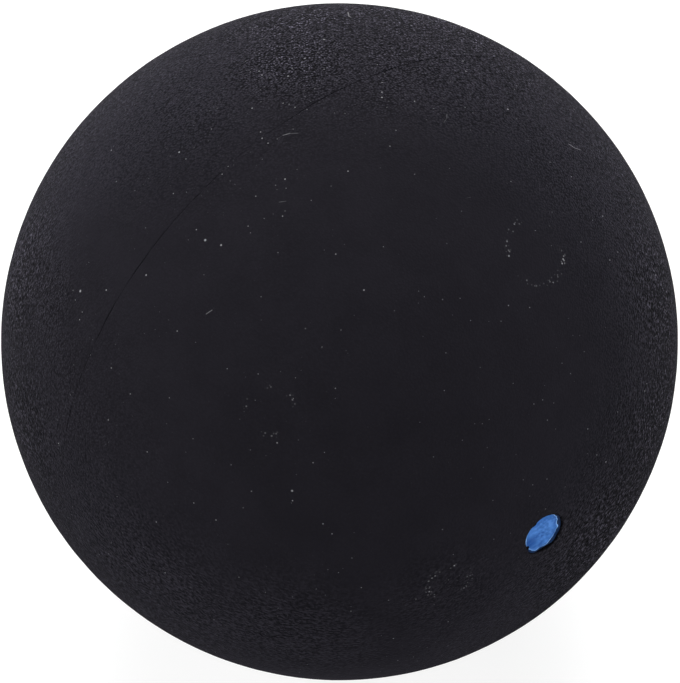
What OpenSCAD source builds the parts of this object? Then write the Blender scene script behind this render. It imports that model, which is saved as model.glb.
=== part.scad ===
// Squash ball: two moulded rubber half shells, cemented edge to edge round an
// air-filled cavity, with a drop of blue paint in a dimple at one pole.
//
// The origin is the ball's centre. The axis of revolution lies along Y: the
// painted dimple faces -Y and the seam is the plane Y = 0. +Z is up.

/* [Ball] */
// Outside diameter of the ball
ball_d = 40; // [36:0.5:60]
// Wall thickness of each rubber half shell
wall_t = 5.2; // [3.5:0.1:7]

/* [Seam] */
// Thickness of the cement film between the half shells
cement_t = 0.1; // [0.06:0.01:0.3]
// Depth of the hairline crease, from the ball's surface down to the cement
crease_depth = 0.06; // [0.03:0.01:0.2]
// Chamfer on the outer edge of each half shell, where the crease opens
edge_chamfer = 0.03; // [0.01:0.01:0.1]
// Radius of the bead of cement that squeezes out into the cavity
bead_r = 0.5; // [0.3:0.05:1]

/* [Dimple] */
// Diameter of the moulded dimple, between its walls
dimple_d = 2.55; // [1.5:0.05:5]
// Depth of the dimple, from the pole of the ball down to its flat floor
dimple_depth = 0.4; // [0.35:0.05:1.5]
// Radius of the rounded rim of the dimple
dimple_rim_r = 0.12; // [0.05:0.01:0.3]

/* [Paint dot] */
// Thickness of the paint where it meets the wall of the dimple
paint_edge_t = 0.2; // [0.05:0.01:0.22]
// Height of the paint's crown above its edge
paint_crown = 0.06; // [0.02:0.01:0.12]

/* [Hidden] */

$fn = 180;

// How far cutting shapes run past what they cut
overrun = 1;

ball_r = ball_d / 2;
cavity_r = ball_r - wall_t;
// Each half shell's edge face stands this far from the seam plane
edge_y = cement_t / 2;
dimple_r = dimple_d / 2;
dimple_floor = ball_r - dimple_depth;
// Height of the ball's surface at the outer edge of the rounded rim
rim_edge_r = dimple_r + dimple_rim_r;
rim_top = sqrt(pow(ball_r, 2) - pow(rim_edge_r, 2));
// Radius of the sphere that gives the paint its crown
crown_r = (pow(dimple_r, 2) + pow(paint_crown, 2)) / (2 * paint_crown);
// The cement film starts inside its bead and ends at the floor of the crease
film_inner_r = cavity_r - bead_r / 2;
film_outer_r = ball_r - crease_depth;

// Turns a solid of revolution about +Z so that its pole faces -Y
module towards_front() {
    rotate([90, 0, 0]) children();
}

// Turns a solid of revolution about +Z so that its pole faces +Y
module towards_back() {
    rotate([-90, 0, 0]) children();
}

// Half section of a shell, pole up, from the cavity to the outer surface
module half_shell_section() {
    difference() {
        circle(r = ball_r);
        circle(r = cavity_r);
        translate([-ball_r - overrun, edge_y - ball_r - overrun])
            square([2 * (ball_r + overrun), ball_r + overrun]);
        translate([-ball_r - overrun, 0])
            square([ball_r + overrun, ball_r + overrun]);
        polygon([
            [ball_r - edge_chamfer, edge_y],
            [ball_r + overrun, edge_y + edge_chamfer + overrun],
            [ball_r + overrun, edge_y]
        ]);
    }
}

// Half section of the dimple, with a flat floor, a straight wall and a round rim
module dimple_section() {
    translate([0, dimple_floor])
        square([dimple_r, dimple_depth + overrun]);
    difference() {
        translate([dimple_r - dimple_rim_r, rim_top - dimple_rim_r])
            square([2 * dimple_rim_r, dimple_rim_r + overrun]);
        translate([rim_edge_r, rim_top - dimple_rim_r])
            circle(r = dimple_rim_r);
    }
}

// Half section of the paint, which fills the dimple from wall to wall
module paint_section() {
    translate([0, dimple_floor])
        intersection() {
            square([dimple_r, paint_edge_t + paint_crown]);
            translate([0, paint_edge_t + paint_crown - crown_r])
                circle(r = crown_r);
        }
}

// Half section of the cement: the film, and the bead that it ends in
module cement_section() {
    intersection() {
        circle(r = cavity_r);
        translate([cavity_r, 0])
            circle(r = bead_r);
    }
    translate([film_inner_r, -edge_y])
        square([film_outer_r - film_inner_r, cement_t]);
}

// Moulded half shell with the painted dimple at its pole
module dotted_half_shell() {
    color([0.122, 0.118, 0.137])
        towards_front()
            rotate_extrude()
                difference() {
                    half_shell_section();
                    dimple_section();
                }
}

// Moulded half shell on the other side of the seam
module plain_half_shell() {
    color([0.122, 0.118, 0.137])
        towards_back()
            rotate_extrude()
                half_shell_section();
}

// Rubber cement that bonds the two edge faces and seals the cavity
module seam_cement() {
    color([0.09, 0.088, 0.1])
        towards_front()
            rotate_extrude()
                cement_section();
}

// Drop of blue paint that lies in the dimple
module blue_dot() {
    color([0.26, 0.5, 0.85])
        towards_front()
            rotate_extrude()
                paint_section();
}

dotted_half_shell();
plain_half_shell();
seam_cement();
blue_dot();
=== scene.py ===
"""Squash ball: detailed rubber half shells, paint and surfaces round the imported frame.

Lengths are in metres, in the frame's own axes: the origin is the ball's centre, the
painted dimple faces -Y, the seam is the plane Y = 0, and the ball rests on a floor
under it. Pixels are the photograph's own, counted from its upper left corner.
"""
import math

import bpy
import numpy as np
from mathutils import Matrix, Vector


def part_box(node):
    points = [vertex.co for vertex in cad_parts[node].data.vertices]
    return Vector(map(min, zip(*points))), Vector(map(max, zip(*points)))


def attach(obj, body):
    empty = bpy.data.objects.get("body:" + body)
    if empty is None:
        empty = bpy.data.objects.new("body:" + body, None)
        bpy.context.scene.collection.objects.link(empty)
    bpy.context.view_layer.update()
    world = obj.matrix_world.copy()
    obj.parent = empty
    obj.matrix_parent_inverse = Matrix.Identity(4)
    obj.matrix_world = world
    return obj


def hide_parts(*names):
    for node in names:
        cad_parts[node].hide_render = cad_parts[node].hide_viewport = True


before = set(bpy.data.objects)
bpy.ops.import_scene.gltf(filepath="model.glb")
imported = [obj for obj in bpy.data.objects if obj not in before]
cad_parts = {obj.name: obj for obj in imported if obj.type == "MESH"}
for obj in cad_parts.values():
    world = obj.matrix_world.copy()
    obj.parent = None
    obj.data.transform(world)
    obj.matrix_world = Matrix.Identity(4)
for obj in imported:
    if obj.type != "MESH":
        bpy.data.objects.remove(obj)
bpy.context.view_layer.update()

MM = 0.001
UM = 0.000001

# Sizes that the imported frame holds
ball_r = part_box("plain_half_shell")[1].y
edge_y = -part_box("dotted_half_shell")[1].y
film_outer_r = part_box("seam_cement")[1].x
dimple_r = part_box("blue_dot")[1].x
dimple_floor = -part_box("blue_dot")[1].y
paint_top = -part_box("blue_dot")[0].y

# Sizes inside the ball and on its rims, as the CAD model has them
WALL_T = 5.2 * MM
DIMPLE_RIM_R = 0.12 * MM
PAINT_CROWN = 0.06 * MM
cavity_r = ball_r - WALL_T
paint_edge = paint_top - PAINT_CROWN

# The photograph's frame and the ball's place in it
FRAME_PX = (680, 683)
BALL_PX = (339.55, 341.6)
BALL_WIDTH_PX = 677.7
VIEW_AZIMUTH = math.radians(-36.4)
VIEW_ELEVATION = math.radians(43.6)
VIEW_DISTANCE = 0.5
LENS_MM = 446.2
SENSOR_MM = 36
# How many times nearer than the ball, and how many times farther, the camera still sees
CLIP_RATIO = 100

back = Vector((
    math.sin(VIEW_AZIMUTH) * math.cos(VIEW_ELEVATION),
    -math.cos(VIEW_AZIMUTH) * math.cos(VIEW_ELEVATION),
    math.sin(VIEW_ELEVATION),
))
right = Vector((math.cos(VIEW_AZIMUTH), math.sin(VIEW_AZIMUTH), 0))
up = back.cross(right)


def seen_at(pixel):
    """Point of the ball's surface that the photograph shows at a pixel."""
    focal_px = LENS_MM / SENSOR_MM * max(FRAME_PX)
    across = (pixel[0] - BALL_PX[0]) / focal_px
    upward = (BALL_PX[1] - pixel[1]) / focal_px
    ray = (right * across + up * upward - back).normalized()
    eye = back * VIEW_DISTANCE
    nearest = -eye.dot(ray)
    half_chord = math.sqrt(ball_r ** 2 - eye.length_squared + nearest ** 2)
    return eye + ray * (nearest - half_chord)


def make_camera():
    data = bpy.data.cameras.new("camera")
    data.lens = LENS_MM
    data.sensor_width = SENSOR_MM
    data.shift_x = (FRAME_PX[0] / 2 - BALL_PX[0]) / max(FRAME_PX)
    data.shift_y = (BALL_PX[1] - FRAME_PX[1] / 2) / max(FRAME_PX)
    data.clip_start = VIEW_DISTANCE / CLIP_RATIO
    data.clip_end = VIEW_DISTANCE * CLIP_RATIO
    camera = bpy.data.objects.new("camera", data)
    camera.location = back * VIEW_DISTANCE
    camera.rotation_mode = "QUATERNION"
    camera.rotation_quaternion = (-back).to_track_quat("-Z", "Y")
    bpy.context.scene.collection.objects.link(camera)
    bpy.context.scene.camera = camera


# Unevenness of the rubber, always inwards: the swell of the moulding, the ripple that
# buffing leaves, and a coarse grain. Each has a wavelength, a depth and a seed.
SWELL = (6 * MM, 14 * UM, 11)
RIPPLE = (1.7 * MM, 4 * UM, 12)
COARSE_GRAIN = (0.62 * MM, 3 * UM, 13)

# Seam: half the width of the crease where it is nearly shut and what its widest places
# add, how far its line wanders, and how its lips round off
CREASE_HALF_W = 0.005 * MM
CREASE_GAPE = 0.045 * MM
CREASE_WANDER = 0.03 * MM
CREASE_LIP = 0.05 * MM
LIP_DROP = 0.006 * MM
# Where the photograph shows the crease open: a pixel, how far along the seam, and how wide
OPEN_SEAM_PX = (
    ((462, 55), 2.5 * MM, 0.8), ((410, 64), 0.9 * MM, 0.8), ((383, 71), 0.7 * MM, 0.8),
    ((328, 97), 1.4 * MM, 0.8), ((285, 122), 1.6 * MM, 0.3), ((180, 220), 2.4 * MM, 0.25),
    ((140, 272), 0.8 * MM, 0.4), ((112, 320), 1.3 * MM, 0.8), ((75, 418), 1.2 * MM, 0.7),
)
# Waves round the seam, each with its wavelength, its share and its seed: a little gape
# everywhere, the unevenness of the gape, and the line that the seam follows
GAPE_WAVE = (6 * MM, 0.1, 21)
GAPE_UNEVENNESS = (0.9 * MM, 0.5, 22)
SEAM_LINE_WAVES = ((5 * MM, 1.0, 23), (1.1 * MM, 0.35, 24))
# Rings of the lip: how far each lies from the edge and how far it drops, as shares of
# CREASE_LIP and LIP_DROP
LIP_RINGS = ((0, 1), (0.35, 0.45), (1, 0.1), (2.2, 0))

# Dimple: how far its wall wanders from a true circle, and the burrs and hollows in it: a
# pixel, how far each burr reaches in or each hollow out, and half the angle that it takes up
WALL_WANDER = 0.02 * MM
WALL_WAVES = ((55 * MM, 1.0, 31), (16 * MM, 0.4, 32))
BURRS_PX = (
    ((535, 525), 0.12 * MM, 0.13), ((547, 543), 0.05 * MM, 0.25), ((560, 528), 0.07 * MM, 0.2),
    ((529, 549), 0.17 * MM, 0.07), ((534, 552), -0.15 * MM, 0.4), ((560, 519), -0.03 * MM, 0.3),
)

# Paint: how far it climbs the wall of the dimple, how uneven that climb is and over what
# share of its radius it reaches, the wavelength, depth and seed of the lumps in its surface,
# and how far its sides reach into the rubber, so that no gap shows. Its foot stays as far off
# the dimple's floor, so that the two faces don't coincide
MENISCUS = 0.02 * MM
MENISCUS_WAVE = (22 * MM, 0.6, 41)
MENISCUS_REACH = 0.12
LUMPS = ((0.95 * MM, 24 * UM, 42), (0.32 * MM, 8 * UM, 43))
PAINT_BITE = 0.005 * MM

# Points in a ring at the ball's widest, in the cavity and in the dimple, and the fewest
RING_POINTS = 672
CAVITY_POINTS = 168
DIMPLE_POINTS = 168
FEWEST_POINTS = 21
# Angle between the rows of rings outside and in the cavity
ROW_ANGLE = math.radians(0.54)
CAVITY_ROW_ANGLE = math.radians(2)
# How far from the seam the even rows start, and how far from the dimple's wall they end
ROWS_START = CREASE_HALF_W + 4 * CREASE_LIP
ROWS_END = 1.6 * DIMPLE_RIM_R
# Rings of the dimple, as shares of the quarter turn of its rim, of the depth of its wall
# and of the radius of its floor
RIM_RINGS = np.linspace(0.12, 1, 6)
WALL_RINGS = (0.5, 1)
FLOOR_RINGS = (0.8, 0.5, 0.2)
# Rings of the paint's foot and of its top, as shares of its radius
PAINT_FOOT_RINGS = (0.3, 0.7, 1)
PAINT_TOP_RINGS = np.linspace(1, 0.04, 26)

# Waves that make up the noise, and the most that it reaches either way
WAVE_COUNT = 48
WAVE_LIMIT = 1.5


def waves(points, wavelength, seed):
    """Smooth noise, mostly from -1 to 1: plane waves of one length in random directions."""
    rng = np.random.default_rng(seed)
    directions = rng.normal(size=(3, WAVE_COUNT))
    directions /= np.linalg.norm(directions, axis=0)
    phases = rng.uniform(0, 2 * math.pi, WAVE_COUNT)
    total = np.cos(points @ directions * (2 * math.pi / wavelength) + phases).sum(axis=1)
    return np.clip(total / math.sqrt(WAVE_COUNT), -WAVE_LIMIT, WAVE_LIMIT)


def wave_on_ring(angles, wavelength, share, seed):
    """The same noise along the ball's seam, so that it closes on itself, times a share."""
    circle = np.stack([np.cos(angles), np.zeros_like(angles), np.sin(angles)], axis=1)
    return share * waves(circle * ball_r, wavelength, seed)


def sink(points):
    """How far the rubber lies under the true sphere at each point."""
    total = np.zeros(len(points))
    for wavelength, depth, seed in (SWELL, RIPPLE, COARSE_GRAIN):
        total += depth * (1 + waves(points, wavelength, seed) / WAVE_LIMIT)
    return total


def ring_angles(count):
    return np.arange(count) * (2 * math.pi / count)


def ring(radius, height, side, count):
    """Ring round the Y axis. side is -1 on the dotted half and 1 on the plain one."""
    angles = ring_angles(count)
    radius = np.broadcast_to(radius, count)
    height = np.broadcast_to(height, count)
    return np.stack([radius * np.cos(angles), side * height, radius * np.sin(angles)], axis=1)


def sunk(points, extra=0.0):
    """Points of the true sphere, moved in to the rubber's surface."""
    scale = (ball_r - sink(points) - extra) / ball_r
    return points * scale[:, None]


def points_at(radius, most, least=FEWEST_POINTS):
    """Halves a ring's points as it shrinks, so that they stay about as far apart."""
    count = most
    while count > least and radius < ball_r * 0.5 * count / most:
        count //= 2
    return count


def bridge(first, first_count, second, second_count):
    """Faces between two rings of as many points, or of half or twice as many."""
    if first_count < second_count:
        return [face[::-1] for face in bridge(second, second_count, first, first_count)]
    faces = []
    if first_count == second_count:
        for i in range(first_count):
            j = (i + 1) % first_count
            faces.append((first + i, first + j, second + j, second + i))
        return faces
    for i in range(second_count):
        j = (i + 1) % second_count
        wide = [first + 2 * i, first + 2 * i + 1, first + (2 * i + 2) % first_count]
        faces.append((wide[0], wide[1], second + i))
        faces.append((wide[1], second + j, second + i))
        faces.append((wide[1], wide[2], second + j))
    return faces


def lathe(name, rings, inner_pole, outer_pole):
    """Closed body from rings, in order from its inner pole to its outer pole."""
    starts = 1 + np.cumsum([0] + [len(r) for r in rings])
    points = np.concatenate([[inner_pole], *rings, [outer_pole]])
    last = len(points) - 1
    faces = []
    for i in range(len(rings[0])):
        faces.append((0, 1 + (i + 1) % len(rings[0]), 1 + i))
    for k in range(len(rings) - 1):
        faces += bridge(int(starts[k]), len(rings[k]), int(starts[k + 1]), len(rings[k + 1]))
    begin = int(starts[len(rings) - 1])
    for i in range(len(rings[-1])):
        faces.append((begin + i, begin + (i + 1) % len(rings[-1]), last))
    if outer_pole[1] < inner_pole[1]:
        faces = [face[::-1] for face in faces]
    mesh = bpy.data.meshes.new(name)
    mesh.from_pydata(points.tolist(), [], [tuple(face) for face in faces])
    mesh.shade_smooth()
    piece = bpy.data.objects.new(name, mesh)
    bpy.context.scene.collection.objects.link(piece)
    return piece


def cavity_rings(side):
    """Inner surface of a half shell, from its pole to the seam."""
    rings = []
    rows = round(math.pi / 2 / CAVITY_ROW_ANGLE)
    for row in range(1, rows):
        angle = row * (math.pi / 2 / rows)
        radius = cavity_r * math.sin(angle)
        count = points_at(radius * ball_r / cavity_r, CAVITY_POINTS)
        rings.append(ring(radius, cavity_r * math.cos(angle), side, count))
    return rings


def edge_rings(side):
    """Flat edge face that the cement holds, from the cavity out to the crease."""
    rings = [ring(math.sqrt(cavity_r ** 2 - edge_y ** 2), edge_y, side, CAVITY_POINTS)]
    middle_r = (cavity_r + film_outer_r) / 2
    rings.append(ring(middle_r, edge_y, side, CAVITY_POINTS * 2))
    rings.append(ring(film_outer_r, edge_y, side, RING_POINTS))
    return rings


def crease_gape(angles):
    """How far the crease stands open round the seam, from 0 to about 1."""
    gape = wave_on_ring(angles, *GAPE_WAVE)
    for pixel, reach, share in OPEN_SEAM_PX:
        place = seen_at(pixel)
        turn = (angles - math.atan2(place.z, place.x) + math.pi) % (2 * math.pi) - math.pi
        gape += share * np.exp(-(turn * ball_r / reach) ** 2)
    return np.clip(gape, 0, 1) * (1 + wave_on_ring(angles, *GAPE_UNEVENNESS))


def lip_heights(side):
    """Height of a half shell's lip over the seam plane, round the seam."""
    angles = ring_angles(RING_POINTS)
    wander = sum(wave_on_ring(angles, *wave) for wave in SEAM_LINE_WAVES)
    half_width = CREASE_HALF_W + CREASE_GAPE * crease_gape(angles)
    return half_width + side * CREASE_WANDER * wander


def lip_rings(side):
    """Lip of the crease, rounded off into the ball's surface."""
    heights = lip_heights(side)
    rings = []
    for along, drop in LIP_RINGS:
        height = heights + along * CREASE_LIP
        points = ring(np.sqrt(ball_r ** 2 - height ** 2), height, side, RING_POINTS)
        rings.append(sunk(points, drop * LIP_DROP))
    return rings


def outer_rings(side, last_angle, least):
    """Outer surface, from just past the crease to the angle from the pole that is given."""
    first_angle = math.pi / 2 - ROWS_START / ball_r
    rows = round((first_angle - last_angle) / ROW_ANGLE)
    rings = []
    for row in range(rows + 1):
        angle = first_angle + (last_angle - first_angle) * row / rows
        radius = ball_r * math.sin(angle)
        count = points_at(radius, RING_POINTS, least)
        rings.append(sunk(ring(radius, ball_r * math.cos(angle), side, count)))
    return rings


def dimple_wall(angles):
    """Radius of the dimple's wall, which is a little out of round and has burrs."""
    wander = sum(wave_on_ring(angles, *wave) for wave in WALL_WAVES)
    wall = dimple_r + WALL_WANDER * wander
    for pixel, reach, half_angle in BURRS_PX:
        burr = seen_at(pixel)
        turn = (angles - math.atan2(burr.z, burr.x) + math.pi) % (2 * math.pi) - math.pi
        wall -= reach * np.exp(-(turn / half_angle) ** 2)
    return wall


def dimple_rings(side):
    """Dimple, from its rounded rim down the wall to the flat floor."""
    angles = ring_angles(DIMPLE_POINTS)
    wall = dimple_wall(angles)
    rim_top = math.sqrt(ball_r ** 2 - (dimple_r + DIMPLE_RIM_R) ** 2)
    rings = []
    for turn in RIM_RINGS * math.pi / 2:
        radius = wall + DIMPLE_RIM_R * (1 - math.sin(turn))
        height = rim_top - DIMPLE_RIM_R * (1 - math.cos(turn))
        rings.append(sunk(ring(radius, height, side, DIMPLE_POINTS)))
    top = rim_top - DIMPLE_RIM_R
    for share in WALL_RINGS:
        rings.append(ring(wall, top + (dimple_floor - top) * share, side, DIMPLE_POINTS))
    for share in FLOOR_RINGS:
        count = points_at(ball_r * share, DIMPLE_POINTS)
        rings.append(ring(dimple_r * share, dimple_floor, side, count))
    return rings


def make_dotted_shell():
    side = -1
    rim_angle = math.asin((dimple_r + ROWS_END) / ball_r)
    rings = cavity_rings(side) + edge_rings(side) + lip_rings(side)
    rings += outer_rings(side, rim_angle, DIMPLE_POINTS) + dimple_rings(side)
    return lathe("dotted_shell", rings, (0, side * cavity_r, 0), (0, side * dimple_floor, 0))


def make_plain_shell():
    side = 1
    rings = cavity_rings(side) + edge_rings(side) + lip_rings(side)
    rings += outer_rings(side, ROW_ANGLE, FEWEST_POINTS)
    pole = sunk(np.array([[0, side * ball_r, 0]]))[0]
    return lathe("plain_shell", rings, (0, side * cavity_r, 0), pole)


def make_paint():
    """Paint that fills the dimple from wall to wall, with a lumpy crown and a raised edge."""
    side = -1
    angles = ring_angles(DIMPLE_POINTS)
    wall = dimple_wall(angles) + PAINT_BITE
    rings = []
    for share in PAINT_FOOT_RINGS:
        count = points_at(ball_r * share, DIMPLE_POINTS)
        rim = wall[:: DIMPLE_POINTS // count]
        rings.append(ring(rim * share, dimple_floor + PAINT_BITE, side, count))
    climb = MENISCUS * (1 + wave_on_ring(angles, *MENISCUS_WAVE))
    for share in PAINT_TOP_RINGS:
        count = points_at(ball_r * share * 2, DIMPLE_POINTS)
        step = DIMPLE_POINTS // count
        crown = PAINT_CROWN * (1 - share ** 2)
        edge = climb[::step] * max(0, 1 - (1 - share) / MENISCUS_REACH) ** 2
        points = ring(wall[::step] * share, paint_edge + crown, side, count)
        lumps = sum(depth * waves(points, wavelength, seed) for wavelength, depth, seed in LUMPS)
        points[:, 1] += side * (edge + lumps)
        rings.append(points)
    middle = (0, side * paint_top, 0)
    return lathe("paint_drop", rings, (0, side * (dimple_floor + PAINT_BITE), 0), middle)


# Sockets of the Mix node that serve colours
MIX_SHARE, MIX_FIRST, MIX_SECOND, MIXED = 0, 6, 7, 2
# The part of a noise's range that a tone stretches to its own range
TONE_RANGE = (0.3, 0.7)
# Share of a speck's radius that is fully pale, and how pale the faintest speck is
SPECK_CORE = 0.4
FAINTEST_SPECK = 0.25
# Crumbs, in cells of size 1: how far from a crumb's middle its side begins and ends, the
# height between crumbs, the common height of their tops, the share of them that has it, and
# the height of the highest top
CRUMB_SIDES = (0.15, 0.85)
CRUMB_FLOOR = -0.5
CRUMB_TOP = 0.35
COMMON_CRUMBS = 0.6
HIGHEST_TOP = 0.65


class Surface:
    """Material whose nodes are added by short calls.

    A value is a number, a tuple or another node's output socket.
    """

    def __init__(self, name):
        self.material = bpy.data.materials.new(name)
        self.material.use_nodes = True
        self.tree = self.material.node_tree
        self.shader = self.tree.nodes["Principled BSDF"]
        self.place = self.add("ShaderNodeTexCoord").outputs["Object"]

    def add(self, kind, values=(), **settings):
        node = self.tree.nodes.new(kind)
        for name, setting in settings.items():
            setattr(node, name, setting)
        for name, value in dict(values).items():
            self.put(node.inputs[name], value)
        return node

    def put(self, socket, value):
        if isinstance(value, bpy.types.NodeSocket):
            self.tree.links.new(value, socket)
        else:
            socket.default_value = value

    def shade(self, **values):
        """Sets the shader's sockets, with an underscore for each space in a name."""
        for name, value in values.items():
            self.put(self.shader.inputs[name.replace("_", " ")], value)

    def math(self, operation, *values):
        """A sum, product or the like of two values, or of a whole row of them."""
        result = values[0]
        for value in values[1:] or (0.0,):
            node = self.add("ShaderNodeMath", {0: result, 1: value}, operation=operation)
            result = node.outputs[0]
        return result

    def vector(self, operation, *values, output="Vector"):
        return self.add("ShaderNodeVectorMath", enumerate(values), operation=operation).outputs[output]

    def ramp(self, value, low, high, to_low=0.0, to_high=1.0):
        """Smooth step from one level to another as value goes from low to high."""
        values = {"Value": value, "From Min": low, "From Max": high, "To Min": to_low, "To Max": to_high}
        node = self.add("ShaderNodeMapRange", values, interpolation_type="SMOOTHSTEP")
        return node.outputs["Result"]

    def noise(self, size, seed, detail=0.0, where=None):
        """Noise from 0 to 1 whose cells have the given size. A seed moves it elsewhere."""
        where = self.place if where is None else where
        moved = self.vector("ADD", where, (seed, seed, seed))
        values = {"Vector": moved, "Scale": 1 / size, "Detail": detail}
        return self.add("ShaderNodeTexNoise", values).outputs["Fac"]

    def tone(self, size, seed, least, most, detail=2.0, where=None):
        """Noise that varies smoothly from the least value to the most."""
        return self.ramp(self.noise(size, seed, detail, where), *TONE_RANGE, least, most)

    def tint(self, colour, level):
        """A colour, made darker or lighter by a level."""
        values = {0: colour, "Scale": level}
        return self.add("ShaderNodeVectorMath", values, operation="SCALE").outputs[0]

    def mix(self, share, first, second):
        values = {MIX_SHARE: share, MIX_FIRST: first, MIX_SECOND: second}
        return self.add("ShaderNodeMix", values, data_type="RGBA").outputs[MIXED]

    def distance(self, point):
        return self.vector("DISTANCE", self.place, tuple(point), output="Value")

    def spot(self, point, radius, soft=0.5):
        """1 near a point, falling to 0 over a share of the radius each side of it."""
        return self.ramp(self.distance(point), radius * (1 - soft), radius * (1 + soft), 1.0, 0.0)

    def stroke(self, start, stop, half_width):
        """1 on the straight line between two points, falling to 0 at half a width from it."""
        along = stop - start
        offset = self.vector("SUBTRACT", self.place, tuple(start))
        share = self.vector("DOT_PRODUCT", offset, tuple(along / along.length_squared), output="Value")
        kept = self.add("ShaderNodeClamp", {"Value": share}).outputs[0]
        nearest = self.vector("MULTIPLY_ADD", kept, tuple(along), tuple(start))
        away = self.vector("DISTANCE", self.place, nearest, output="Value")
        return self.ramp(away, 0.0, half_width, 1.0, 0.0)

    def specks(self, spacing, radius, share, seed):
        """Scattered round specks, where a share of the cells holds one."""
        moved = self.vector("ADD", self.place, (seed, seed, seed))
        cells = self.add("ShaderNodeTexVoronoi", {"Vector": moved, "Scale": 1 / spacing})
        luck = self.add("ShaderNodeSeparateColor", {0: cells.outputs["Color"]})
        edge = radius / spacing
        near = self.ramp(cells.outputs["Distance"], edge * SPECK_CORE, edge, 1.0, 0.0)
        kept = self.math("LESS_THAN", luck.outputs[0], share)
        paleness = self.ramp(luck.outputs[1], 0.0, 1.0, FAINTEST_SPECK, 1.0)
        return self.math("MULTIPLY", near, kept, paleness)

    def crumbs(self, size, seed, where):
        """Height of packed crumbs, as a share of the full relief: below 0 between them."""
        moved = self.vector("ADD", where, (seed, seed, seed))
        cells = self.add("ShaderNodeTexVoronoi", {"Vector": moved, "Scale": 1 / size})
        luck = self.add("ShaderNodeSeparateColor", {0: cells.outputs["Color"]})
        top = self.ramp(luck.outputs[0], COMMON_CRUMBS, 1.0, CRUMB_TOP, HIGHEST_TOP)
        return self.ramp(cells.outputs["Distance"], *CRUMB_SIDES, top, CRUMB_FLOOR)

    def bump(self, height):
        """Normal of a surface raised by a height in metres."""
        values = {"Height": height, "Distance": 1.0, "Strength": 1.0}
        return self.add("ShaderNodeBump", values).outputs["Normal"]


def spread(surface, *directions):
    """Coordinates along three directions. Noise on them is finer along a longer one."""
    parts = {}
    for axis, direction in zip("XYZ", directions):
        parts[axis] = surface.vector("DOT_PRODUCT", surface.place, tuple(direction), output="Value")
    return surface.add("ShaderNodeCombineXYZ", parts).outputs[0]


# Length that one pixel of the photograph covers in the middle of the ball
PIXEL = 2 * ball_r / BALL_WIDTH_PX

# Pale dust on the ball that the photograph shows: a pixel, and the speck's radius in pixels
DUST_PX = (
    (111, 150, 1.0), (179, 152, 1.1), (205, 240, 1.4), (221, 245, 1.1), (146, 275, 1.0),
    (80, 291, 1.5), (106, 290, 0.9), (75, 300, 0.7), (82, 312, 0.7), (90, 355, 0.7),
    (111, 368, 0.8), (177, 331, 0.8), (130, 394, 0.8), (108, 420, 0.8), (147, 452, 0.7),
    (292, 491, 1.3), (277, 443, 1.0), (243, 508, 0.7), (323, 524, 0.8), (332, 534, 0.8),
    (324, 39, 1.5), (305, 58, 1.1), (285, 179, 0.9), (348, 171, 0.8), (364, 290, 0.9),
    (248, 226, 0.7), (258, 374, 0.8), (382, 97, 1.1), (396, 130, 0.7), (434, 108, 0.8),
    (508, 109, 1.2), (466, 71, 1.0), (341, 330, 0.6), (322, 347, 0.6), (603, 216, 0.9),
    (610, 260, 0.8), (533, 485, 0.7), (231, 465, 0.7), (165, 573, 0.8), (252, 108, 0.9),
    (259, 71, 1.0), (262, 75, 0.8), (288, 76, 1.0), (292, 68, 0.8), (324, 69, 0.7),
    (283, 103, 0.8), (289, 104, 0.7), (295, 107, 0.8), (262, 138, 0.9), (268, 143, 0.7),
    (226, 30, 0.9), (296, 19, 0.8), (280, 37, 0.7), (350, 31, 0.7), (411, 25, 0.8),
    (382, 82, 0.8), (387, 107, 0.8), (400, 110, 0.6), (390, 146, 0.7), (222, 174, 0.7),
    (656, 275, 1.0), (645, 391, 1.0), (646, 439, 0.9), (606, 462, 0.9), (618, 412, 0.7),
    (618, 252, 0.7), (597, 455, 0.7), (665, 328, 0.8), (554, 403, 0.6), (588, 429, 0.7),
)
# Lint: the ends of each straight stretch of a fibre in pixels, and its share of a full width
LINT_PX = (
    ((278, 138), (283, 135), 0.6), ((283, 135), (290, 133), 1.0), ((290, 133), (298, 133), 0.8),
    ((298, 133), (304, 131), 0.4), ((447, 114), (447, 118), 1.0), ((447, 118), (444, 122), 0.8),
    ((348, 12), (349, 16), 1.4), ((349, 16), (351, 17), 1.2), ((569, 144), (575, 148), 0.8),
    ((575, 148), (581, 150), 0.6), ((466, 198), (471, 197), 0.8), ((206, 314), (212, 310), 0.8),
    ((78, 525), (80, 532), 0.9), ((279, 202), (286, 201), 0.7),
)
LINT_HALF_W = 0.047 * MM
# Radius at which a speck of dust has half its strength, as a share of its own radius
DUST_SPREAD = 0.8
# Dust between those places, and dust that clings to crumbs: the spacing and radius of its
# specks, the share of the cells that hold one, and a seed
LOOSE_DUST = ((1.1 * MM, 0.055 * MM, 0.8, 3.0), (0.5 * MM, 0.035 * MM, 0.35, 7.0))
CLINGING_DUST = (0.38 * MM, 0.05 * MM, 0.6, 4.0)
CLINGING_SHARE = 0.7
# Broken rings of fine specks, where the ball has rubbed on something: a pixel, a radius in
# pixels, and how strong the specks are. Then half the width of a ring, and its specks, given
# as those of the dust are
RUB_RINGS_PX = (((537, 251), 33, 1.0), ((449, 583), 22, 0.9), ((271, 411), 24, 0.5))
RUB_HALF_W = 0.28 * MM
RUB_SPECKS = (0.17 * MM, 0.075 * MM, 0.6, 9.0)
# What breaks the rings: the size and seed of a noise, and between which values of it the
# ring comes back
RUB_WEAR = (1.3 * MM, 5.0)
RUB_WEAR_RANGE = (0.45, 0.6)


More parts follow.
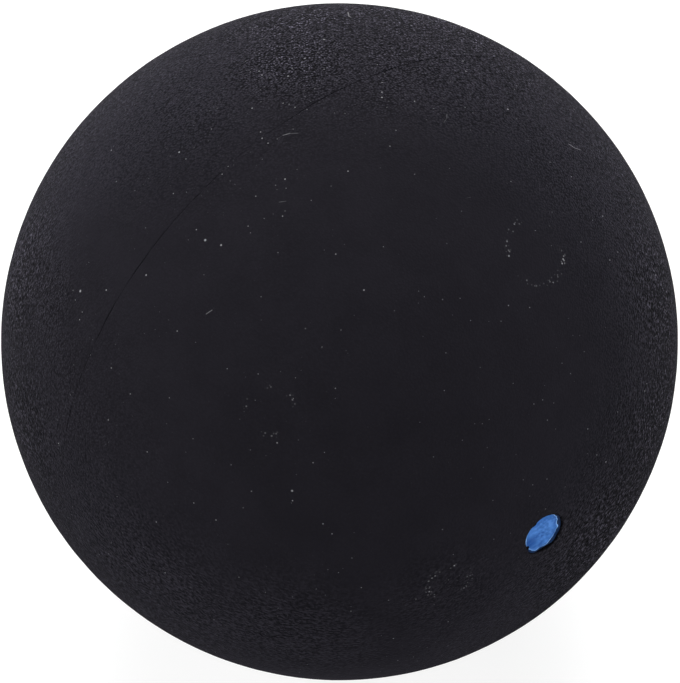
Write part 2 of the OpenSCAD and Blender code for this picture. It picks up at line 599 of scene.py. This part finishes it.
def rub_rings(surface):
    """How strongly the rubbed rings show their specks, from 0 to 1."""
    rings = []
    for pixel, radius, strength in RUB_RINGS_PX:
        off_ring = surface.math("SUBTRACT", surface.distance(seen_at(pixel)), radius * PIXEL)
        rings.append(surface.ramp(surface.math("ABSOLUTE", off_ring), 0.0, RUB_HALF_W, strength, 0.0))
    left = surface.ramp(surface.noise(*RUB_WEAR), *RUB_WEAR_RANGE)
    return surface.math("MULTIPLY", surface.math("MAXIMUM", *rings), left, surface.specks(*RUB_SPECKS))


def dust(surface, crumbs_left):
    """How much pale dust and lint covers a place, from 0 to 1. More of it clings to crumbs."""
    layers = [surface.spot(seen_at((x, y)), radius * PIXEL * DUST_SPREAD) for x, y, radius in DUST_PX]
    for start, stop, width in LINT_PX:
        layers.append(surface.stroke(seen_at(start), seen_at(stop), LINT_HALF_W * width))
    layers += [surface.specks(*dust_kind) for dust_kind in LOOSE_DUST]
    clinging = surface.specks(*CLINGING_DUST)
    layers.append(surface.math("MULTIPLY", clinging, crumbs_left, CLINGING_SHARE))
    layers.append(rub_rings(surface))
    return surface.math("MAXIMUM", *layers)


# Rubber: its colour, and the colour of dust on it
RUBBER_COLOUR = (0.0146, 0.0137, 0.018)
DUST_COLOUR = (0.32, 0.32, 0.34, 1)
# Its gloss, and the weight, roughness and tint of its sheen
RUBBER_GLOSS = 0.02
SHEEN_WEIGHT = 0.024
SHEEN_ROUGHNESS = 0.2
SHEEN_TINT = (0.84, 0.81, 1, 1)
# The relief in its shading: the size and the full height of its crumbs and of its grain,
# and their seeds
CRUMB = (0.145 * MM, 150 * UM)
GRAIN = (0.22 * MM, 150 * UM)
CRUMB_SEED = 0.9
GRAIN_SEED = 0.4
# Range of the grain's height, as a share of its full height
GRAIN_RANGE = (-0.5, 0.5)
# How much finer the relief is along the photograph's line of sight, so that the wrinkles
# near the ball's outline run along it
WRINKLE_DRAW = 1.5
# Painted shade in the relief's hollows and painted light on its crests, with pale dust there:
# how many times paler the rubber is where its crumbs are a full height higher, and the share of
# that power which a full height of grain has
CRUMB_SHADE_AND_DUST = 22.0
GRAIN_SHADE_AND_DUST = 0.7
# Where the photograph shows the rubber worn smooth: a pixel, how far round it the relief
# is least, and how far away it is whole
WORN_PX = (
    ((304, 345), 3.5 * MM, 39 * MM), ((462, 374), 3 * MM, 20 * MM), ((133, 186), 0.0, 11.4 * MM),
    ((305, 662), 0.0, 24.5 * MM),
)
LEAST_RELIEF = 0.06
# The size, seed and range of a noise by which the relief varies from place to place
RELIEF_VARIETY = (5 * MM, 1.3, 0.8, 1.15)
# Share of its radius over which a place in the next three lists fades out, each side of it
PLACE_SOFTNESS = 0.8
# Where the photograph shows the rubber rougher than the worn places leave it: a pixel, a
# radius, and the share of the relief
ROUGH_PX = (
    ((430, 22), 9 * MM, 1.2), ((202, 67), 8.9 * MM, 0.4), ((48, 297), 2.2 * MM, 0.65),
    ((609, 524), 3 * MM, 0.4), ((290, 18), 4.5 * MM, 1.2),
)
# Where its crumbs stand out but its grain doesn't
CRUMBLY_PX = (((297, 53), 3.9 * MM, 1.25), ((511, 72), 3.5 * MM, 0.85))
# Where its grain stands out but its crumbs don't
GRAINY_PX = (
    ((664, 300), 4.5 * MM, 1.4), ((658, 430), 5 * MM, 1.45), ((18, 270), 4 * MM, 1.4),
    ((20, 420), 4 * MM, 1.2), ((607, 535), 5 * MM, 1.8), ((300, 14), 4 * MM, 1.1),
    ((146, 603), 7 * MM, 0.7), ((285, 638), 5 * MM, 0.6), ((444, 599), 3.5 * MM, 0.35),
)
# Where play has worn the grain down most: a pixel, how far round it the grain is least, how
# far away it is whole, and the least share of it
PLAYED_PX = (350, 250)
PLAYED_REACH = (15 * MM, 23 * MM)
PLAYED_SHARE = 0.3
# Painted sheen: the rubber is painted paler away from its darkest side, towards the outline
# that the camera sees: that side's pixel, how far round it there is none, how far away the
# sheen is whole, and how many times paler it makes the rubber
UNSHEENED_PX = (330, 500)
PAINTED_SHEEN_REACH = (19 * MM, 30 * MM)
PAINTED_SHEEN = 1.5
# The size, seed and range of the noise in its paleness, and in its roughness
PATCHES = (2.5 * MM, 2.2, 0.95, 1.07)
ROUGHNESS = (0.4 * MM, 4.7, 0.74, 0.88)
# Painted shade in the crease and the dimple, where the rubber is made darker: the depth under
# the ball's surface down to which there is none and the depth where it is whole, how far out
# from the dimple's wall it is whole and where there is none, and how dark it is beside the rest
UNSHADED_DEPTH = 0.055 * MM
RECESS_SHADE_DEPTH = 0.09 * MM
RECESS_SHADE_REACH = (0.05 * MM, 0.16 * MM)
RECESS_SHADE = 0.25


def at_places(surface, places):
    """For each place in a list, its share there, falling softly to 0 round it."""
    shares = []
    for pixel, radius, share in places:
        near = surface.spot(seen_at(pixel), radius, PLACE_SOFTNESS)
        shares.append(surface.math("MULTIPLY", near, share))
    return shares


def relief_left(surface):
    """Share of its full grain that the rubber has at a place, and of its crumbs."""
    unworn = []
    for pixel, near, far in WORN_PX:
        unworn.append(surface.ramp(surface.distance(seen_at(pixel)), near, far))
    left = surface.math("MULTIPLY", *unworn)
    left = surface.math("MAXIMUM", left, LEAST_RELIEF, *at_places(surface, ROUGH_PX))
    left = surface.math("MULTIPLY", left, surface.tone(*RELIEF_VARIETY))
    played = surface.ramp(surface.distance(seen_at(PLAYED_PX)), *PLAYED_REACH, PLAYED_SHARE)
    grain = surface.math("MULTIPLY", left, played)
    grain = surface.math("MAXIMUM", grain, *at_places(surface, GRAINY_PX))
    crumbs = surface.math("MAXIMUM", left, *at_places(surface, CRUMBLY_PX))
    return grain, crumbs


def recess_shade_share(surface):
    """1 outside the crease and the dimple, and less in them, where shade is painted."""
    from_centre = surface.distance((0, 0, 0))
    from_pole = surface.distance((0, -ball_r, 0))
    # Painted shade deep in the crease and, below, round the dimple's wall
    crease_shade = surface.ramp(from_centre, ball_r - RECESS_SHADE_DEPTH, ball_r - UNSHADED_DEPTH, RECESS_SHADE)
    shade_edges = [dimple_r + reach for reach in RECESS_SHADE_REACH]
    dimple_shade = surface.ramp(from_pole, *shade_edges, RECESS_SHADE)
    return surface.math("MINIMUM", crease_shade, dimple_shade)


def rubber_level_and_shade(surface, crumb, grain):
    """How many times paler the rubber is: painted shade and light by its relief, painted sheen, random
    patches, and painted shade in the crease and dimple.
    """
    # Paleness by relief: painted shade in the hollows, painted light and pale dust on the crests
    paleness = surface.math("ADD", crumb, surface.math("MULTIPLY", grain, GRAIN_SHADE_AND_DUST))
    paleness = surface.math("POWER", CRUMB_SHADE_AND_DUST, paleness)
    # Painted sheen: paler towards the outline that the camera sees
    painted_sheen = surface.ramp(surface.distance(seen_at(UNSHEENED_PX)), *PAINTED_SHEEN_REACH, 1.0, PAINTED_SHEEN)
    patches = surface.tone(*PATCHES)
    return surface.math("MULTIPLY", painted_sheen, patches, paleness, recess_shade_share(surface))


def rubber():
    surface = Surface("buffed_rubber")
    grain_left, crumbs_left = relief_left(surface)
    wrinkled = spread(surface, right, up, back * WRINKLE_DRAW)
    crumb = surface.math("MULTIPLY", crumbs_left, surface.crumbs(CRUMB[0], CRUMB_SEED, wrinkled))
    grain = surface.tone(GRAIN[0], GRAIN_SEED, *GRAIN_RANGE, detail=1.0, where=wrinkled)
    grain = surface.math("MULTIPLY", grain_left, grain)
    height = surface.math(
        "ADD",
        surface.math("MULTIPLY", crumb, CRUMB[1]),
        surface.math("MULTIPLY", grain, GRAIN[1]),
    )
    # The rubber without dust, with its painted shade, light and sheen
    clean = surface.tint(RUBBER_COLOUR, rubber_level_and_shade(surface, crumb, grain))
    surface.shade(
        Base_Color=surface.mix(dust(surface, crumbs_left), clean, DUST_COLOUR),
        Roughness=surface.tone(*ROUGHNESS),
        Diffuse_Roughness=1.0,
        Specular_IOR_Level=RUBBER_GLOSS,
        Sheen_Weight=SHEEN_WEIGHT,
        Sheen_Roughness=SHEEN_ROUGHNESS,
        Sheen_Tint=SHEEN_TINT,
        Normal=surface.bump(height),
    )
    return surface.material


# Cement: its colour and its gloss, the size, seed and range of the noise in its colour and
# in its roughness, the size and seed of its relief, and the height of that
CEMENT_COLOUR = (0.004, 0.0038, 0.005)
CEMENT_GLOSS = 0.02
CEMENT_PATCHES = (0.6 * MM, 0.0, 0.6, 1.4)
CEMENT_ROUGHNESS = (0.25 * MM, 1.0, 0.8, 0.95)
CEMENT_RELIEF = (0.3 * MM, 2.0)
CEMENT_RELIEF_H = 20 * UM


def cement():
    surface = Surface("rubber_cement")
    relief = surface.noise(*CEMENT_RELIEF, detail=1.0)
    surface.shade(
        Base_Color=surface.tint(CEMENT_COLOUR, surface.tone(*CEMENT_PATCHES)),
        Roughness=surface.tone(*CEMENT_ROUGHNESS, detail=1.0),
        Specular_IOR_Level=CEMENT_GLOSS,
        Normal=surface.bump(surface.math("MULTIPLY", relief, CEMENT_RELIEF_H)),
    )
    return surface.material


# Paint: its deep, common and pale blues
DEEP_BLUE = (0.02, 0.095, 0.35, 1)
BLUE = (0.063, 0.2, 0.56, 1)
PALE_BLUE = (0.1, 0.28, 0.72, 1)
# The size and seed of the noise that mixes the deep blue with the common one
BLUE_PATCHES = (0.7 * MM, 0.2)
# Pale brush streaks: their size and seed, the most that they show, their slope in the
# photograph, and how many times longer than wide they are
STREAKS = (0.22 * MM, 0.7)
STREAK_SHARE = 0.7
STREAK_SLOPE = math.radians(-18)
STREAK_LENGTH = 4.0
# Painted highlight along the paint's raised edge: its colour, how wide it is, and the size,
# seed and range of the noise that breaks it up
EDGE_HIGHLIGHT_BLUE = (0.27, 0.5, 0.9, 1)
EDGE_HIGHLIGHT_W = 0.08 * MM
EDGE_HIGHLIGHT_BREAKS = (0.5 * MM, 3.1, 0.3, 1.0)
# Painted shade on one side of the paint, standing for the shaded far wall of the dimple: which
# side, how far the middle of the unshaded paint lies from the pole, its radius, the size and
# depth of the waves in its edge, and their seed
SHADED_SIDE = Vector((0.82, 0, -0.57))
UNSHADED_SHIFT = 0.3 * MM
UNSHADED_R = 1.28 * MM
UNSHADED_WANDER = (0.5 * MM, 0.07 * MM)
UNSHADED_SEED = 6.3
# Over how wide a line the unshaded paint turns to painted shade, and the dark blue of that
# painted shade
SHADE_EDGE_W = 0.03 * MM
PAINTED_SHADE_BLUE = (0.005, 0.021, 0.07, 1)
# Where the paint's lower end is deeper in colour: a pixel, a radius, and how softly it ends
FOOT_PX = (530, 546)
FOOT_R = 0.6 * MM
FOOT_SOFTNESS = 0.6
# Painted shade in a band inside the paint's edge, where its crown falls away: how far in from
# the edge it begins and is full, and how much of the deep blue it has
EDGE_SHADE_BAND = (0.45 * MM, 0.1 * MM)
EDGE_SHADE_SHARE = 0.4
# The paint's gloss, the size, seed and range of the noise in its roughness, the size and
# seed of its relief, and the height of that
PAINT_GLOSS = 0.07
PAINT_ROUGHNESS = (0.3 * MM, 1.1, 0.35, 0.6)
PAINT_RELIEF = (0.12 * MM, 1.9)
PAINT_RELIEF_H = 12 * UM


def paint_blues(surface):
    """Blues of the paint, in patches and brush streaks, under its painted shade and highlight."""
    colour = surface.mix(surface.tone(*BLUE_PATCHES, 0.0, 1.0), DEEP_BLUE, BLUE)
    along = right * math.cos(STREAK_SLOPE) + up * math.sin(STREAK_SLOPE)
    streaky = spread(surface, along / STREAK_LENGTH, back.cross(along), back)
    streaks = surface.tone(*STREAKS, 0.0, STREAK_SHARE, where=streaky)
    return surface.mix(streaks, colour, PALE_BLUE)


def paint():
    surface = Surface("blue_paint")
    pole = Vector((0, -paint_edge, 0))
    size, depth = UNSHADED_WANDER
    unshaded_r = surface.tone(size, UNSHADED_SEED, UNSHADED_R - depth, UNSHADED_R + depth)
    from_unshaded_middle = surface.distance(pole - SHADED_SIDE * UNSHADED_SHIFT)
    beyond_unshaded = surface.math("SUBTRACT", from_unshaded_middle, unshaded_r)
    beyond_wall = surface.math("SUBTRACT", surface.distance(pole), dimple_r)
    outward = surface.math("MAXIMUM", beyond_wall, beyond_unshaded)
    # Painted shade in a band inside the edge, and the deeper blue of the paint's lower end
    shade_and_deep = surface.math(
        "MAXIMUM",
        surface.ramp(outward, -EDGE_SHADE_BAND[0], -EDGE_SHADE_BAND[1], 0.0, EDGE_SHADE_SHARE),
        surface.spot(seen_at(FOOT_PX), FOOT_R, FOOT_SOFTNESS),
    )
    # Painted highlight along the paint's raised edge
    edge = surface.math("MULTIPLY", surface.ramp(outward, -EDGE_HIGHLIGHT_W, 0.0), surface.tone(*EDGE_HIGHLIGHT_BREAKS))
    # Painted shade on the side of the paint beside the dimple's far wall
    painted_shade = surface.ramp(beyond_unshaded, 0.0, SHADE_EDGE_W)
    colour = surface.mix(shade_and_deep, paint_blues(surface), DEEP_BLUE)
    colour = surface.mix(edge, colour, EDGE_HIGHLIGHT_BLUE)
    relief = surface.noise(*PAINT_RELIEF, detail=2.0)
    surface.shade(
        Base_Color=surface.mix(painted_shade, colour, PAINTED_SHADE_BLUE),
        Roughness=surface.tone(*PAINT_ROUGHNESS),
        Specular_IOR_Level=PAINT_GLOSS,
        Normal=surface.bump(surface.math("MULTIPLY", relief, PAINT_RELIEF_H)),
    )
    return surface.material


# Lamps: bearing from the camera's own side, elevation, width, distance, and how brightly
# each lights a white surface that faces it
LAMPS = {
    "back_softbox": (180, 50, 0.5, 0.6, 1.4),
    "low_back_softbox": (180, 15, 0.3, 0.6, 0.2),
    "left_softbox": (-90, 15, 0.4, 0.6, 0.95),
    "right_softbox": (90, 15, 0.4, 0.6, 0.5),
    "top_softbox": (0, 88, 0.5, 0.6, 0.25),
    "front_softbox": (0, 25, 0.4, 0.6, 0.5),
}
# Light from all round, and the floor: its grey, its width, its roughness, and the glow that
# makes it nearly white to the camera and in reflections
AMBIENT = 0.1
FLOOR_GREY = 0.3
FLOOR_W = 4.0
FLOOR_ROUGHNESS = 0.9
FLOOR_GLOW = 0.8
WHITE = (1, 1, 1, 1)
# The ball's shadow dulls what the floor shows in reflections: how far its middle lies in
# front of the ball, how far from there the floor is dark, and how far away it glows fully
SHADOW_SHIFT = 14 * MM
SHADOW_REACH = (16 * MM, 65 * MM)


def make_lamp(name, bearing, elevation, width, distance, level):
    azimuth = VIEW_AZIMUTH + math.radians(bearing)
    tilt = math.radians(elevation)
    towards = Vector((
        math.sin(azimuth) * math.cos(tilt),
        -math.cos(azimuth) * math.cos(tilt),
        math.sin(tilt),
    ))
    data = bpy.data.lights.new(name, "AREA")
    data.shape = "SQUARE"
    data.size = width
    data.energy = level * (math.pi * distance) ** 2
    lamp = bpy.data.objects.new(name, data)
    lamp.location = towards * distance
    lamp.rotation_mode = "QUATERNION"
    lamp.rotation_quaternion = (-towards).to_track_quat("-Z", "Y")
    lamp.visible_camera = False
    bpy.context.scene.collection.objects.link(lamp)


def add_backdrop_share(tree):
    """1 for rays that show the background: the camera's, reflections and refractions."""
    path = tree.nodes.new("ShaderNodeLightPath")
    share = path.outputs["Is Camera Ray"]
    for kind in ("Is Glossy Ray", "Is Transmission Ray"):
        either = tree.nodes.new("ShaderNodeMath")
        either.operation = "MAXIMUM"
        tree.links.new(share, either.inputs[0])
        tree.links.new(path.outputs[kind], either.inputs[1])
        share = either.outputs[0]
    return share


def make_world():
    world = bpy.data.worlds.new("studio")
    world.use_nodes = True
    tree = world.node_tree
    level = tree.nodes.new("ShaderNodeMapRange")
    level.inputs["To Min"].default_value = AMBIENT
    level.inputs["To Max"].default_value = 1.0
    tree.links.new(add_backdrop_share(tree), level.inputs["Value"])
    background = tree.nodes["Background"]
    background.inputs["Color"].default_value = WHITE
    tree.links.new(level.outputs["Result"], background.inputs["Strength"])
    bpy.context.scene.world = world


def make_floor():
    half = FLOOR_W / 2
    z = -ball_r
    corners = [(-half, -half, z), (half, -half, z), (half, half, z), (-half, half, z)]
    mesh = bpy.data.meshes.new("floor")
    mesh.from_pydata(corners, [], [(0, 1, 2, 3)])
    floor = bpy.data.objects.new("floor", mesh)
    bpy.context.scene.collection.objects.link(floor)
    surface = Surface("pale_floor")
    tree = surface.tree
    seen = tree.nodes.new("ShaderNodeLightPath").outputs["Is Camera Ray"]
    shadow_middle = Vector((back.x, back.y, 0)).normalized() * SHADOW_SHIFT + Vector((0, 0, z))
    unshaded = surface.ramp(surface.distance(shadow_middle), *SHADOW_REACH)
    reflected = surface.math("MULTIPLY", add_backdrop_share(tree), unshaded)
    glow = surface.math("MULTIPLY", surface.math("MAXIMUM", seen, reflected), FLOOR_GLOW)
    surface.shade(
        Base_Color=(FLOOR_GREY, FLOOR_GREY, FLOOR_GREY, 1),
        Roughness=FLOOR_ROUGHNESS,
        Specular_IOR_Level=0.0,
        Emission_Color=WHITE,
        Emission_Strength=glow,
    )
    mesh.materials.append(surface.material)


def dress(piece, material, node):
    piece.data.materials.append(material)
    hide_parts(node)
    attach(piece, "root")


make_camera()
rubber_material = rubber()
dress(make_dotted_shell(), rubber_material, "dotted_half_shell")
dress(make_plain_shell(), rubber_material, "plain_half_shell")
dress(make_paint(), paint(), "blue_dot")
# The cement keeps the frame's own mesh, as only its edge shows, at the foot of the crease
cement_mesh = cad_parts["seam_cement"].data
cement_mesh.materials.clear()
cement_mesh.materials.append(cement())

make_floor()
make_world()
for lamp_name, settings in LAMPS.items():
    make_lamp(lamp_name, *settings)
bpy.context.scene.view_settings.view_transform = "Standard"
